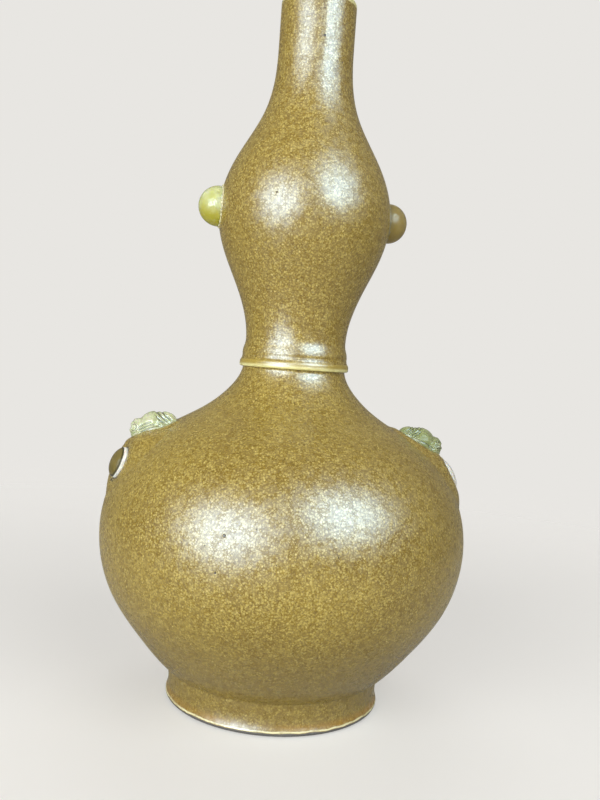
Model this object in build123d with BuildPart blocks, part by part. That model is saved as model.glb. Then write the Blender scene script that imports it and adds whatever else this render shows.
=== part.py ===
from build123d import *
from math import cos, radians, sin, tan
import os

os.makedirs("parts", exist_ok=True)

# Gourd vase: a hollow double-gourd bottle with six stones set in its sides.
# Millimetres. +Z is up, the origin is the middle of the resting face and the stones sit at +X and -X.

# Driving dimensions: heights of the body, each measured from the one below it
foot_height = 11.0
belly_rise = 49.0
shoulder_rise = 58.2
collar_rise = 7.4
waist_rise = 3.7
flank_rise = 44.7
crown_rise = 62.0
neck_rise = 14.0

# Driving dimensions: radii of the body
foot_radius = 38.4
belly_radius = 65.3
shoulder_end_radius = 18.4
waist_radius = 18.0
upper_radius = 30.8
neck_radius = 13.4

# Walls and turned details of the body
wall_thickness = 4.2
base_recess = 5.5
recess_draft = 1.4
rim_width = 4.2
rim_inset = 1.6
rim_chamfer_height = 1.2
foot_groove_height = 2.6
foot_groove_depth = 0.4
foot_swell = 0.4
lip_flat = 0.6
lip_drop = 2.2
ridge_edge = 0.8
ridge_swell = 0.5
ridge_width = 3.2
collar_edge = 0.4
collar_swell = 0.3
collar_width = 4.0
bead_root = 2.0
cut_overrun = 6.0

# Stations along each curve of the outline: share of the way across, share of the way up
belly_shares = ((0.45, 0.265), (0.84, 0.59))
shoulder_shares = ((0.12, 0.36), (0.45, 0.625), (0.70, 0.742), (0.905, 0.88))
flank_shares = ((0.405, 0.44), (0.81, 0.71))
crown_shares = ((0.218, 0.258), (0.523, 0.419), (0.81, 0.581), (0.971, 0.774))
belly_start_angle = 38
shoulder_end_angle = 116
inner_shares = (0, 0.2, 0.4, 0.6, 0.8, 1)

# Stones: domes on the upper bulb, carved amulets and oval agates on the shoulder
cement_gap = 0.5
dome_radius = 7.1
dome_socket_depth = 1.6

amulet_length = 16.6
amulet_width = 10.4
amulet_height = 6.2
amulet_seat_rim = 1.4
amulet_socket_depth = 0.9
groove_width = 0.5
groove_depth = 0.45
groove_lean = 25

agate_length = 11.2
agate_width = 9.4
agate_bulge = 1.9
agate_seat_rim = 1.3
agate_socket_depth = 1.2

seat_taper = 35
seat_root = 8.0
seat_edge_round = 0.7

# Lobes of an amulet from head to tail: where the middle sits along it, then half length, half width
# and height, each as a share of the amulet's own size
head_shares = (0.20, 0.215, 0.41, 0.90)
back_shares = (0.50, 0.30, 0.50, 1.0)
tail_shares = (0.61, 0.40, 0.39, 0.84)
tail_groove_shares = (0.71, 0.77, 0.83, 0.89, 0.94)

# How the two sides differ. A hand-set stone has a place on its curve, as a share of the curve's length,
# a turn towards the front, a further turn of its face, the climb of its face from the horizontal, and
# the rise of its clay seat.
side_turn = {"left": 180, "right": 0}
forward_turn = {"left": 1, "right": -1}
dome_offset = {"left": 1.0, "right": 0.5}
dome_bulge = {"left": 7.7, "right": 6.8}
amulet_place_share = {"left": 0.506, "right": 0.522}
amulet_forward = {"left": 3, "right": 8}
amulet_climb = {"left": 65, "right": 62}
amulet_seat_rise = {"left": 1.3, "right": 1.3}
agate_place_share = {"left": 0.30, "right": 0.327}
agate_forward = {"left": 7.5, "right": 8}
agate_face_turn = {"left": 20, "right": 0}
agate_climb = {"left": 30, "right": 30}
agate_seat_rise = {"left": 2.0, "right": 1.6}

# Heights of the outline's stations
belly_height = foot_height + belly_rise
shoulder_end_height = belly_height + shoulder_rise
collar_height = shoulder_end_height + collar_rise
waist_height = collar_height + waist_rise
upper_height = waist_height + flank_rise
neck_height = upper_height + crown_rise
total_height = neck_height + neck_rise

rim_outer_radius = foot_radius - rim_inset
rim_inner_radius = rim_outer_radius - rim_width
recess_radius = rim_inner_radius - recess_draft
bore_radius = neck_radius - wall_thickness
foot_point = (foot_radius, foot_height)
belly_point = (belly_radius, belly_height)
shoulder_point = (shoulder_end_radius, shoulder_end_height)
waist_point = (waist_radius, waist_height)
upper_point = (upper_radius, upper_height)
neck_point = (neck_radius, neck_height)
upright = (0, 1)


# Points between two ends of a curve
def stations(start, end, shares):
    across = end[0] - start[0]
    up = end[1] - start[1]
    return [(start[0] + a * across, start[1] + u * up) for a, u in shares]


# A direction in the outline's plane, as an angle from the outward axis
def heading(angle):
    return (cos(radians(angle)), sin(radians(angle)))


# The four swelling curves of the gourd, from the foot to the neck
def gourd_curves():
    belly = Spline(
        foot_point,
        *stations(foot_point, belly_point, belly_shares),
        belly_point,
        tangents=[heading(belly_start_angle), upright],
    )
    shoulder = Spline(
        belly_point,
        *stations(belly_point, shoulder_point, shoulder_shares),
        shoulder_point,
        tangents=[upright, heading(shoulder_end_angle)],
    )
    waist = Spline(shoulder_point, waist_point, tangents=[heading(shoulder_end_angle), upright])
    flank = Spline(
        waist_point,
        *stations(waist_point, upper_point, flank_shares),
        upper_point,
        tangents=[upright, upright],
    )
    crown = Spline(
        upper_point,
        *stations(upper_point, neck_point, crown_shares),
        neck_point,
        tangents=[upright, upright],
    )
    return belly, shoulder, waist, flank, crown


# Half section of the thrown shape, solid to the axis
with BuildSketch(Plane.XZ) as thrown_section:
    with BuildLine():
        belly_curve, shoulder_curve, waist_curve, flank_curve, crown_curve = gourd_curves()
        lip_start = (neck_radius, total_height - lip_drop)
        lip_crest = (neck_radius - (wall_thickness - lip_flat) / 2, total_height)
        Line(neck_point, lip_start)
        Spline(lip_start, lip_crest, tangents=[upright, (-1, 0)])
        Polyline(
            lip_crest,
            (0, total_height),
            (0, base_recess),
            (foot_radius, base_recess),
            foot_point,
        )
    make_face()

# A curve of the outline moved inwards by the wall thickness
def inner_curve(curve):
    points = []
    for share in inner_shares:
        place = curve @ share
        along = curve % share
        points.append((place.X - along.Y * wall_thickness, place.Y + along.X * wall_thickness))
    start = curve % 0
    end = curve % 1
    return Spline(*points, tangents=[(start.X, start.Y), (end.X, end.Y)])


# Half section of the hollow: one wall thickness inside the thrown shape, and open at the neck
with BuildSketch(Plane.XZ) as hollow_section:
    with BuildLine():
        inner_belly = inner_curve(belly_curve)
        for outer_curve in (shoulder_curve, waist_curve, flank_curve, crown_curve):
            inner_curve(outer_curve)
        inner_lip_start = (bore_radius, total_height - lip_drop)
        inner_lip_crest = (bore_radius + (wall_thickness - lip_flat) / 2, total_height)
        Line((bore_radius, neck_height), inner_lip_start)
        Spline(inner_lip_start, inner_lip_crest, tangents=[upright, (1, 0)])
        Polyline(
            inner_lip_crest,
            (inner_lip_crest[0], total_height + cut_overrun),
            (0, total_height + cut_overrun),
            (0, base_recess + wall_thickness),
            (recess_radius, base_recess + wall_thickness),
            inner_belly @ 0,
        )
    make_face()

# Solid turned form, which the dome beds are also trimmed to
with BuildPart() as turned_form:
    add(thrown_section.sketch)
    revolve(axis=Axis.Z)

# Foot ring: a resting rim, a chamfer, a fine groove and a gently swelling wall
with BuildPart() as foot_ring:
    with BuildSketch(Plane.XZ):
        with BuildLine():
            groove_point = (foot_radius - foot_groove_depth, foot_groove_height)
            swell_point = (foot_radius + foot_swell, (foot_groove_height + foot_height) / 2)
            Polyline(
                foot_point,
                (recess_radius, foot_height),
                (recess_radius, base_recess),
                (rim_inner_radius, 0),
                (rim_outer_radius, 0),
                (foot_radius, rim_chamfer_height),
                groove_point,
            )
            Spline(groove_point, swell_point, foot_point)
        make_face()
    revolve(axis=Axis.Z)

# Waist ring: the turned ridge and the soft band above it
with BuildPart() as waist_ring:
    with BuildSketch(Plane.XZ):
        with BuildLine():
            ridge_top = shoulder_end_height + ridge_width
            collar_top = ridge_top + collar_width
            ridge_foot_radius = shoulder_end_radius + ridge_edge
            collar_foot_radius = shoulder_end_radius + collar_edge
            ridge_foot = (ridge_foot_radius, shoulder_end_height)
            ridge_middle = (ridge_foot_radius + ridge_swell, shoulder_end_height + ridge_width / 2)
            ridge_head = (collar_foot_radius, ridge_top)
            collar_middle = (collar_foot_radius + collar_swell, ridge_top + collar_width / 2)
            collar_head = (collar_foot_radius, collar_top)
            Spline(ridge_foot, ridge_middle, ridge_head)
            Spline(ridge_head, collar_middle, collar_head)
            Polyline(
                collar_head,
                waist_point,
                (waist_radius - bead_root, waist_height),
                (waist_radius - bead_root, shoulder_end_height),
                ridge_foot,
            )
        make_face()
    revolve(axis=Axis.Z)


# A lobe of an amulet: where its middle sits and its half sizes
def lobe_sizes(middle_share, length_share, width_share, height_share):
    middle = (middle_share - 1 / 2) * amulet_length
    return middle, length_share * amulet_length, width_share * amulet_width, height_share * amulet_height


# The outline of an amulet on its base plane, grown all round by a margin
def amulet_outline(margin):
    with BuildSketch() as outline:
        for shares in (head_shares, back_shares, tail_shares):
            middle, half_length, half_width, height = lobe_sizes(*shares)
            with Locations((middle, 0)):
                Ellipse(half_length + margin, half_width + margin)
    return outline.sketch


# Half an ellipsoid over a straight girdle, the shape of every stone here
def polished_crown(half_length, half_width, height, girdle):
    with BuildPart() as crown:
        Sphere(1, arc_size1=0, align=(Align.CENTER, Align.CENTER, Align.MIN))
        scale(by=(half_length, half_width, height))
        with BuildSketch():
            Ellipse(half_length, half_width)
        extrude(amount=-girdle)
    return crown.part


# A lobe of an amulet in its place, grown all round by a margin
def amulet_lobe(shares, margin=0):
    middle, half_length, half_width, height = lobe_sizes(*shares)
    lobe = polished_crown(half_length + margin, half_width + margin, height + margin, amulet_girdle)
    return lobe.moved(Location((middle, 0, 0)))


# Fine grooves that lean back round the tail
amulet_girdle = amulet_socket_depth - cement_gap
with BuildPart() as tail_grooves:
    for along_share in tail_groove_shares:
        along = (along_share - 1 / 2) * amulet_length
        leaning_plane = Plane(origin=(along, 0, 0)).rotated((0, -groove_lean, 0))
        slot = Box(groove_width, 2 * amulet_width, 4 * amulet_height, mode=Mode.PRIVATE)
        add(leaning_plane.location * slot)
    add(amulet_lobe(tail_shares, groove_depth), mode=Mode.INTERSECT)
    add(amulet_lobe(tail_shares, -groove_depth), mode=Mode.SUBTRACT)

# Carved amulet on its own base plane: head towards -X, smooth back, grooved tail towards +X
with BuildPart() as amulet_shape:
    add(amulet_lobe(tail_shares))
    add(tail_grooves.part, mode=Mode.SUBTRACT)
    add(amulet_lobe(back_shares))
    add(amulet_lobe(head_shares))

# Socket and setting cement of an amulet, and the space that it takes out of the glaze
with BuildPart() as amulet_socket:
    extrude(amulet_outline(cement_gap), amount=-amulet_socket_depth)
with BuildPart() as amulet_bed_shape:
    add(amulet_socket.part)
    add(amulet_shape.part, mode=Mode.SUBTRACT)
with BuildPart() as amulet_clearance:
    add(amulet_socket.part)
    extrude(amulet_outline(cement_gap), amount=amulet_height)

# Oval agate on its own base plane
agate_girdle = agate_socket_depth - cement_gap
with BuildPart() as agate_shape:
    add(polished_crown(agate_length / 2, agate_width / 2, agate_bulge, agate_girdle))

# Socket and setting cement of an agate, and the space that it takes out of the glaze
with BuildSketch() as agate_outline:
    Ellipse(agate_length / 2 + cement_gap, agate_width / 2 + cement_gap)
with BuildPart() as agate_socket:
    extrude(agate_outline.sketch, amount=-agate_socket_depth)
with BuildPart() as agate_bed_shape:
    add(agate_socket.part)
    add(agate_shape.part, mode=Mode.SUBTRACT)
with BuildPart() as agate_clearance:
    add(agate_socket.part)
    extrude(agate_outline.sketch, amount=agate_bulge)

# Jade dome on its own base plane, and its socket
dome_girdle = dome_socket_depth - cement_gap
dome_shapes = {
    side: polished_crown(dome_radius, dome_radius, bulge, dome_girdle) for side, bulge in dome_bulge.items()
}
with BuildPart() as dome_socket:
    with BuildSketch():
        Circle(dome_radius + cement_gap)
    extrude(amount=-dome_socket_depth)

# Clay seat of a stone: a flat-topped oval pad with a rounded rim, widening downwards into the shoulder
def clay_seat(half_length, half_width):
    with BuildPart() as seat:
        with BuildSketch():
            Ellipse(half_length - seat_edge_round, half_width - seat_edge_round)
        with BuildSketch(Plane.XY.offset(-seat_edge_round)):
            Ellipse(half_length, half_width)
        with BuildSketch(Plane.XY.offset(-seat_root)):
            Ellipse(half_length + seat_spread, half_width + seat_spread)
        loft()
    return seat.part


seat_spread = seat_root * tan(radians(seat_taper))
amulet_seat_margin = cement_gap + amulet_seat_rim
amulet_seat = clay_seat(amulet_length / 2 + amulet_seat_margin, amulet_width / 2 + amulet_seat_margin)
agate_seat_margin = cement_gap + agate_seat_rim
agate_seat = clay_seat(agate_length / 2 + agate_seat_margin, agate_width / 2 + agate_seat_margin)


# Base plane of a stone: X up the slope, Z straight out of the glaze
def stone_plane(radius, height, turn, face_turn, climb, rise):
    outward = Vector(cos(radians(turn)), sin(radians(turn)), 0)
    facing = Vector(cos(radians(face_turn)), sin(radians(face_turn)), 0)
    normal = facing * cos(radians(climb)) + Vector(0, 0, 1) * sin(radians(climb))
    up_slope = Vector(0, 0, 1) * cos(radians(climb)) - facing * sin(radians(climb))
    foot = outward * radius + Vector(0, 0, 1) * height
    return Plane(origin=foot + normal * rise, x_dir=up_slope, z_dir=normal)


# Where the stones of each side sit
dome_planes = {}
amulet_planes = {}
agate_planes = {}
for side, turn in side_turn.items():
    forward = forward_turn[side]
    dome_height = upper_height + dome_offset[side]
    dome_planes[side] = stone_plane(upper_radius, dome_height, turn, turn, climb=0, rise=0)
    place = shoulder_curve @ amulet_place_share[side]
    amulet_turn = turn + forward * amulet_forward[side]
    amulet_planes[side] = stone_plane(
        place.X, place.Y, amulet_turn, amulet_turn, amulet_climb[side], amulet_seat_rise[side]
    )
    place = shoulder_curve @ agate_place_share[side]
    agate_turn = turn + forward * agate_forward[side]
    face_turn = agate_turn + forward * agate_face_turn[side]
    agate_planes[side] = stone_plane(
        place.X, place.Y, agate_turn, face_turn, agate_climb[side], agate_seat_rise[side]
    )

# The body: turned form, foot, waist ring and clay seats, then the hollow and the sockets
with BuildPart() as gourd_body:
    add(turned_form.part)
    add(foot_ring.part)
    add(waist_ring.part)
    for side in side_turn:
        add(amulet_seat.moved(amulet_planes[side].location))
        add(agate_seat.moved(agate_planes[side].location))
    with BuildSketch(Plane.XZ):
        add(hollow_section.sketch)
    revolve(axis=Axis.Z, mode=Mode.SUBTRACT)
    for side in side_turn:
        add(dome_socket.part.moved(dome_planes[side].location), mode=Mode.SUBTRACT)
        add(amulet_clearance.part.moved(amulet_planes[side].location), mode=Mode.SUBTRACT)
        add(agate_clearance.part.moved(agate_planes[side].location), mode=Mode.SUBTRACT)
gourd_body.part.label = "gourd_body"
export_step(gourd_body.part, "parts/gourd_body.step")

# The stones and their cement beds, a set for each side
for side in side_turn:
    with BuildPart() as dome:
        add(dome_shapes[side].moved(dome_planes[side].location))
    dome.part.label = side + "_dome"
    export_step(dome.part, "parts/" + side + "_dome.step")

    with BuildPart() as dome_cement:
        add(dome_socket.part.moved(dome_planes[side].location))
        add(turned_form.part, mode=Mode.INTERSECT)
        add(dome.part, mode=Mode.SUBTRACT)
    dome_cement.part.label = side + "_dome_cement"
    export_step(dome_cement.part, "parts/" + side + "_dome_cement.step")

    with BuildPart() as amulet:
        add(amulet_shape.part.moved(amulet_planes[side].location))
    amulet.part.label = side + "_amulet"
    export_step(amulet.part, "parts/" + side + "_amulet.step")

    with BuildPart() as amulet_cement:
        add(amulet_bed_shape.part.moved(amulet_planes[side].location))
    amulet_cement.part.label = side + "_amulet_cement"
    export_step(amulet_cement.part, "parts/" + side + "_amulet_cement.step")

    with BuildPart() as agate:
        add(agate_shape.part.moved(agate_planes[side].location))
    agate.part.label = side + "_agate"
    export_step(agate.part, "parts/" + side + "_agate.step")

    with BuildPart() as agate_cement:
        add(agate_bed_shape.part.moved(agate_planes[side].location))
    agate_cement.part.label = side + "_agate_cement"
    export_step(agate_cement.part, "parts/" + side + "_agate_cement.step")

body_box = gourd_body.part.bounding_box()
print("body size", body_box.size, "volume", gourd_body.part.volume, gourd_body.part.is_valid)
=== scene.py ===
import math
import bpy
import bmesh
import numpy as np
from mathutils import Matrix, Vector, noise
from mathutils.bvhtree import BVHTree


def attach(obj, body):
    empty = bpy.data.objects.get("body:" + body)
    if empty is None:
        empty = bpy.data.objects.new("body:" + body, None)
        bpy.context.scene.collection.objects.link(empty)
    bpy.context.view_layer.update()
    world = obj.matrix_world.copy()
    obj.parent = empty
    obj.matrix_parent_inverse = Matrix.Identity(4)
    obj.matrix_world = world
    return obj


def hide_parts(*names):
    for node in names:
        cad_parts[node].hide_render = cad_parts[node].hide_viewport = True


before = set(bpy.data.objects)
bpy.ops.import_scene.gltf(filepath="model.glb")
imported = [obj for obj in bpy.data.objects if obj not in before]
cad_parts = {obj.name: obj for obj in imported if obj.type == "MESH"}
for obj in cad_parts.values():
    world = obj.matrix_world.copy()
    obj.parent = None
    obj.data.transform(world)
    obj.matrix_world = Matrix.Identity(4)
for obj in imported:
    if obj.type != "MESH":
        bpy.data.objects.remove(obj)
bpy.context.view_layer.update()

mm = 0.001


def say(words):
    print("gourd vase:", words)


def colour(red, green, blue):
    steps = [c / 255 for c in (red, green, blue)]
    return [c / 12.92 if c <= 0.04045 else ((c + 0.055) / 1.055) ** 2.4 for c in steps] + [1]


# one node, its settings and its inputs; a socket given as an input is linked
def put(tree, kind, inputs=None, **settings):
    node = tree.nodes.new(kind)
    for key, value in settings.items():
        setattr(node, key, value)
    for key, value in (inputs or {}).items():
        socket = node.inputs[key]
        if isinstance(value, bpy.types.NodeSocket):
            tree.links.new(value, socket)
        else:
            socket.default_value = value
    return node


def maths(tree, operation, first, second=0.0, clamp=False):
    return put(tree, "ShaderNodeMath", {0: first, 1: second}, operation=operation, use_clamp=clamp).outputs[0]


# the second value is a vector, or the factor where the operation is a scale
def vectors(tree, operation, first, second=(0, 0, 0)):
    key = "Scale" if operation == "SCALE" else 1
    node = put(tree, "ShaderNodeVectorMath", {0: first, key: second}, operation=operation)
    return node.outputs[1 if operation in ("LENGTH", "DISTANCE") else 0]


def remap(tree, value, low, high, toLow=0.0, toHigh=1.0):
    inputs = {"Value": value, "From Min": low, "From Max": high, "To Min": toLow, "To Max": toHigh}
    return put(tree, "ShaderNodeMapRange", inputs, interpolation_type="SMOOTHSTEP", clamp=True).outputs[0]


def blendColours(tree, share, first, second):
    inputs = {0: share, 6: first, 7: second}
    return put(tree, "ShaderNodeMix", inputs, data_type="RGBA", blend_type="MIX").outputs[2]


def noiseAt(tree, place, scale, detail=2.0, roughness=0.5, warp=0.0):
    inputs = {"Vector": place, "Scale": scale, "Detail": detail, "Roughness": roughness, "Distortion": warp}
    return put(tree, "ShaderNodeTexNoise", inputs).outputs[0]


def storedValue(tree, name):
    return put(tree, "ShaderNodeAttribute", attribute_name=name).outputs["Fac"]


# a material with its shader, and the place on the piece counted in millimetres
def startMaterial(name):
    material = bpy.data.materials.new(name)
    material.use_nodes = True
    tree = material.node_tree
    tree.nodes.clear()
    shader = put(tree, "ShaderNodeBsdfPrincipled")
    put(tree, "ShaderNodeOutputMaterial", {"Surface": shader.outputs[0]})
    coords = put(tree, "ShaderNodeTexCoord")
    return material, tree, shader, vectors(tree, "SCALE", coords.outputs["Object"], 1000)


def setInputs(shader, values):
    for key, value in values.items():
        shader.inputs[key].default_value = value


def bumpFrom(tree, shader, height, distance):
    bump = put(tree, "ShaderNodeBump", {"Height": height, "Distance": distance, "Strength": 1.0})
    tree.links.new(bump.outputs[0], shader.inputs["Normal"])


# olive tea dust glaze, with its pits as places on the vase and their sizes, in millimetres
glaze = {
    "olive": colour(150, 124, 42),
    "mustard": colour(168, 143, 57),
    "fleck": colour(224, 204, 112),
    "brightFleck": colour(240, 224, 150),
    "shade": colour(112, 88, 30),
    "pin": colour(58, 42, 22),
    # painted shade for the lower belly
    "underside": colour(134, 112, 54),
    "upper": colour(158, 132, 56),
    "thinEdge": colour(244, 238, 168),
    # painted reflection of the stones, in pale patches beside them
    "paintedReflection": colour(186, 180, 126),
    "ridge": colour(188, 164, 66),
    "footLine": colour(240, 234, 186),
    "browned": colour(172, 130, 44),
    "bareClay": colour(64, 58, 52),
    "dryClay": colour(104, 94, 82),
    "ior": 1.62,
    "peel": 0.09,
    "cloudDrift": 18,
    "footWaver": 1.3,
    "runStretch": (1.0, 1.0, 0.10),
    "stirScale": 1.7,
    "stirReach": 0.7,
    "pits": [
        (-25.3, -58.9, 70.1, 0.62),
        (-27.2, -59.3, 59.1, 0.45),
        (0.7, -13.4, 233.7, 0.6),
        (-13.5, -27.6, 176.7, 0.4),
    ],
    "pitCore": 0.6,
    "cells": {"grain": 1.25, "smallGrain": 2.1, "pins": 0.30, "blisters": 0.62},
    # scale, detail and roughness
    "noises": {
        "cloud": (0.03, 4, 0.55),
        "runs": (0.7, 3, 0.6),
        "speck": (1.6, 2, 0.6),
        "paintedReflection": (0.4, 3),
        "uneven": (0.3, 3, 0.6),
        "footWave": (0.16, 3),
        "footLine": (0.25, 3),
        "clay": (1.2, 4),
        "gloss": (0.35, 3),
        "peel": (0.5, 2, 0.45),
        "grit": (1.15, 2, 0.6),
    },
    # where a value fades in, and the two levels that it fades between
    "bands": {
        "mustard": (0.35, 0.68),
        "upper": (118, 150),
        "underside": (62, 24),
        "runs": (0.4, 0.7, 0.0, 0.22),
        "speck": (0.34, 0.64),
        "grain": (0.62, 0.22),
        "grainLuck": (0.0, 0.8),
        "smallGrain": (0.55, 0.25),
        "smallLuck": (0.2, 0.7),
        "bright": (0.34, 0.12),
        "brightLuck": (0.84, 0.92),
        "pin": (0.08, 0.05),
        "pinLuck": (0.7, 0.8),
        "paintedReflection": (0.4, 0.65, 0.0, 0.6),
        "blister": (0.52, 0.36),
        "blisterSeam": (0.25, 0.6),
        "ridgeInside": (18.5, 18.9),
        "ridgeOutside": (22, 21),
        "ridgeBottom": (119.3, 119.6),
        "ridgeTop": (122.3, 121.7),
        "streak": (121.0, 119.9),
        "uneven": (0.25, 0.6, 0.6, 1.0),
        "lipBottom": (247.2, 247.8),
        "lipTop": (249.2, 249.9, 1.0, 0.5),
        "browned": (5.2, 3.0),
        "brownedCloud": (0.35, 0.6, 0.15, 0.7),
        "footLineTop": (2.35, 2.05),
        "footLineBottom": (1.6, 1.75),
        "footLineGaps": (0.3, 0.5, 0.45, 1.0),
        "bare": (1.6, 1.45),
        "gloss": (0.3, 0.7, 0.23, 0.32),
    },
    "shares": {
        "upper": 0.6,
        "underside": 0.75,
        "speck": 0.75,
        "lowDust": 0.35,
        "smallDust": 0.8,
        "dust": 0.66,
        "bright": 0.7,
        "pin": 0.9,
        "blister": 0.85,
        "ridge": 0.7,
    },
    "rougher": {"dust": 0.05, "ridge": 0.04, "bare": 0.4},
    "relief": {"peel": 0.6, "grit": 0.28, "dust": 0.10, "pin": 1.2},
}


def makeGlaze():
    material, tree, shader, place = startMaterial("teaDustGlaze")
    shares, rougher, relief = glaze["shares"], glaze["rougher"], glaze["relief"]

    def noisy(where, key):
        return noiseAt(tree, where, *glaze["noises"][key])

    def band(value, key):
        return remap(tree, value, *glaze["bands"][key])

    def cells(where, key):
        return put(tree, "ShaderNodeTexVoronoi", {"Vector": where, "Scale": glaze["cells"][key]}, feature="F1")

    def times(first, second):
        return maths(tree, "MULTIPLY", first, second)

    def plus(first, second):
        return maths(tree, "ADD", first, second)

    def minus(first, second):
        return maths(tree, "SUBTRACT", first, second)

    def paint(base, share, key):
        return blendColours(tree, share, base, glaze[key])

    # spots in the middle of some cells; the channel draws which cells have one
    def scatter(found, size, luck, channel):
        drawn = put(tree, "ShaderNodeSeparateColor", {0: found.outputs["Color"]}).outputs[channel]
        return times(band(found.outputs["Distance"], size), band(drawn, luck))

    height = put(tree, "ShaderNodeSeparateXYZ", {0: place}).outputs[2]
    cloud = noisy(place, "cloud")
    base = blendColours(tree, band(cloud, "mustard"), glaze["olive"], glaze["mustard"])
    base = paint(base, times(band(height, "upper"), shares["upper"]), "upper")
    # the lower belly is painted darker and duller: painted shade under the belly
    low = band(plus(height, times(cloud, glaze["cloudDrift"])), "underside")
    base = paint(base, times(low, shares["underside"]), "underside")
    # faint runs down the neck and the foot
    squeezed = vectors(tree, "MULTIPLY", place, glaze["runStretch"])
    base = paint(base, band(noisy(squeezed, "runs"), "runs"), "shade")
    # golden dust of two sizes, with darker glaze between
    stir = put(tree, "ShaderNodeTexNoise", {"Vector": place, "Scale": glaze["stirScale"], "Detail": 1.0})
    stirred = vectors(tree, "ADD", place, vectors(tree, "SCALE", stir.outputs["Color"], glaze["stirReach"]))
    speck = band(noisy(place, "speck"), "speck")
    base = paint(base, times(minus(1.0, speck), shares["speck"]), "shade")
    # fewer golden flecks low down, as part of the painted shade under the belly
    fade = minus(1.0, times(low, shares["lowDust"]))
    grain = cells(stirred, "grain")
    dust = scatter(grain, "grain", "grainLuck", 0)
    smallDust = scatter(cells(stirred, "smallGrain"), "smallGrain", "smallLuck", 1)
    dust = times(maths(tree, "MAXIMUM", dust, times(smallDust, shares["smallDust"])), fade)
    base = paint(base, times(dust, shares["dust"]), "fleck")
    bright = scatter(grain, "bright", "brightLuck", 1)
    base = paint(base, times(bright, times(fade, shares["bright"])), "brightFleck")
    # dark pins, and the larger pits at their own places
    pin = scatter(cells(place, "pins"), "pin", "pinLuck", 2)
    for x, y, z, size in glaze["pits"]:
        away = vectors(tree, "DISTANCE", place, (x, y, z))
        pin = maths(tree, "MAXIMUM", pin, remap(tree, away, size, size * glaze["pitCore"]))
    base = paint(base, times(pin, shares["pin"]), "pin")
    # pitted dark seam round the stones, and pale patches beside them: a painted reflection of the stones in the glaze
    seam = storedValue(tree, "seam")
    base = paint(base, times(seam, band(noisy(place, "paintedReflection"), "paintedReflection")), "paintedReflection")
    blister = times(band(cells(place, "blisters").outputs["Distance"], "blister"), band(seam, "blisterSeam"))
    base = paint(base, times(blister, shares["blister"]), "pin")
    # the glaze runs thin and pale over the ridge and the lip
    reach = vectors(tree, "LENGTH", vectors(tree, "MULTIPLY", place, (1.0, 1.0, 0.0)))
    outside = times(band(reach, "ridgeInside"), band(reach, "ridgeOutside"))
    ridge = times(times(band(height, "ridgeBottom"), band(height, "ridgeTop")), outside)
    base = paint(base, times(ridge, shares["ridge"]), "ridge")
    streak = times(ridge, band(height, "streak"))
    lip = times(band(height, "lipBottom"), band(height, "lipTop"))
    thin = times(maths(tree, "MAXIMUM", streak, lip), band(noisy(place, "uneven"), "uneven"))
    base = paint(base, thin, "thinEdge")
    # foot: a browned band, a pale line, then bare clay
    footHeight = plus(height, times(minus(noisy(place, "footWave"), 0.5), glaze["footWaver"]))
    base = paint(base, times(band(footHeight, "browned"), band(cloud, "brownedCloud")), "browned")
    cream = times(band(footHeight, "footLineTop"), band(footHeight, "footLineBottom"))
    base = paint(base, times(cream, band(noisy(place, "footLine"), "footLineGaps")), "footLine")
    bare = maths(tree, "MAXIMUM", storedValue(tree, "bareClay"), band(footHeight, "bare"))
    clay = blendColours(tree, noisy(place, "clay"), glaze["bareClay"], glaze["dryClay"])
    tree.links.new(blendColours(tree, bare, base, clay), shader.inputs["Base Color"])
    rough = plus(band(noisy(place, "gloss"), "gloss"), times(dust, rougher["dust"]))
    rough = plus(rough, times(ridge, rougher["ridge"]))
    rough = maths(tree, "ADD", rough, times(bare, rougher["bare"]), clamp=True)
    tree.links.new(rough, shader.inputs["Roughness"])
    setInputs(shader, {"IOR": glaze["ior"]})
    bumps = plus(times(noisy(place, "peel"), relief["peel"]), times(noisy(stirred, "grit"), relief["grit"]))
    bumps = minus(plus(bumps, times(dust, relief["dust"])), times(pin, relief["pin"]))
    bumpFrom(tree, shader, bumps, glaze["peel"] * mm)
    return material


glazeMaterial = makeGlaze()
say("glaze ready")

# the thrown body: radius and height of each knot of the profile, in millimetres
body = {
    "foot": [
        (36.8, 0.0), (37.9, 0.4), (38.55, 1.2), (38.25, 2.7),
        (37.9, 4.5), (37.85, 6.2), (38.1, 8.6), (38.4, 11.0),
    ],
    "belly": [(38.4, 11.0), (50.505, 23.985), (60.996, 39.91), (65.3, 60.0)],
    "shoulder": [
        (65.3, 60.0), (59.672, 80.952), (44.195, 96.375),
        (32.47, 103.184), (22.856, 111.216), (18.4, 119.3),
    ],
    "ridge": [(18.6, 119.4), (19.3, 119.46), (19.64, 119.85), (19.68, 120.6), (19.58, 121.5), (19.15, 122.3)],
    "collar": [(18.95, 122.7), (18.85, 123.5), (18.9, 124.4), (18.8, 125.3), (18.65, 126.1)],
    "flank": [(18.0, 129.3), (23.184, 148.968), (28.368, 161.037), (30.8, 174.0)],
    "crown": [
        (30.8, 174.0), (27.007, 189.996), (21.7, 199.978),
        (16.706, 210.022), (13.905, 221.988), (13.4, 236.0),
    ],
    # the angles at which each stretch starts and ends, and its number of points
    "stretches": {
        "foot": (25, 84, 30),
        "belly": (38, 90, 44),
        "shoulder": (90, 99, 76),
        "ridge": (8, 120, 18),
        "collar": (80, 110, 10),
        "waist": (108, 90, 8),
        "flank": (90, 90, 36),
        "crown": (90, 90, 48),
    },
    "underside": [
        (0, 5.5), (12, 5.5), (24, 5.5), (30.4, 5.5),
        (31.2, 4.8), (31.9, 2.0), (32.4, 0.4), (32.8, 0), (34.8, 0),
    ],
    "floorRadii": (31.2, 20, 8, 0),
    "wall": 4.2,
    "recess": 5.5,
    "top": 250.0,
    "lipDrop": 9,
    "lipRound": 1.9,
    "lipSteps": 8,
    "innerStep": 3,
    "turns": 256,
    "wobble": 0.0025,
    "waverScale": 1.3,
    "waverRise": 40,
    "weld": 2e-6,
    "bare": {"radius": 33, "recess": 5.4, "rim": 0.5},
}


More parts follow.
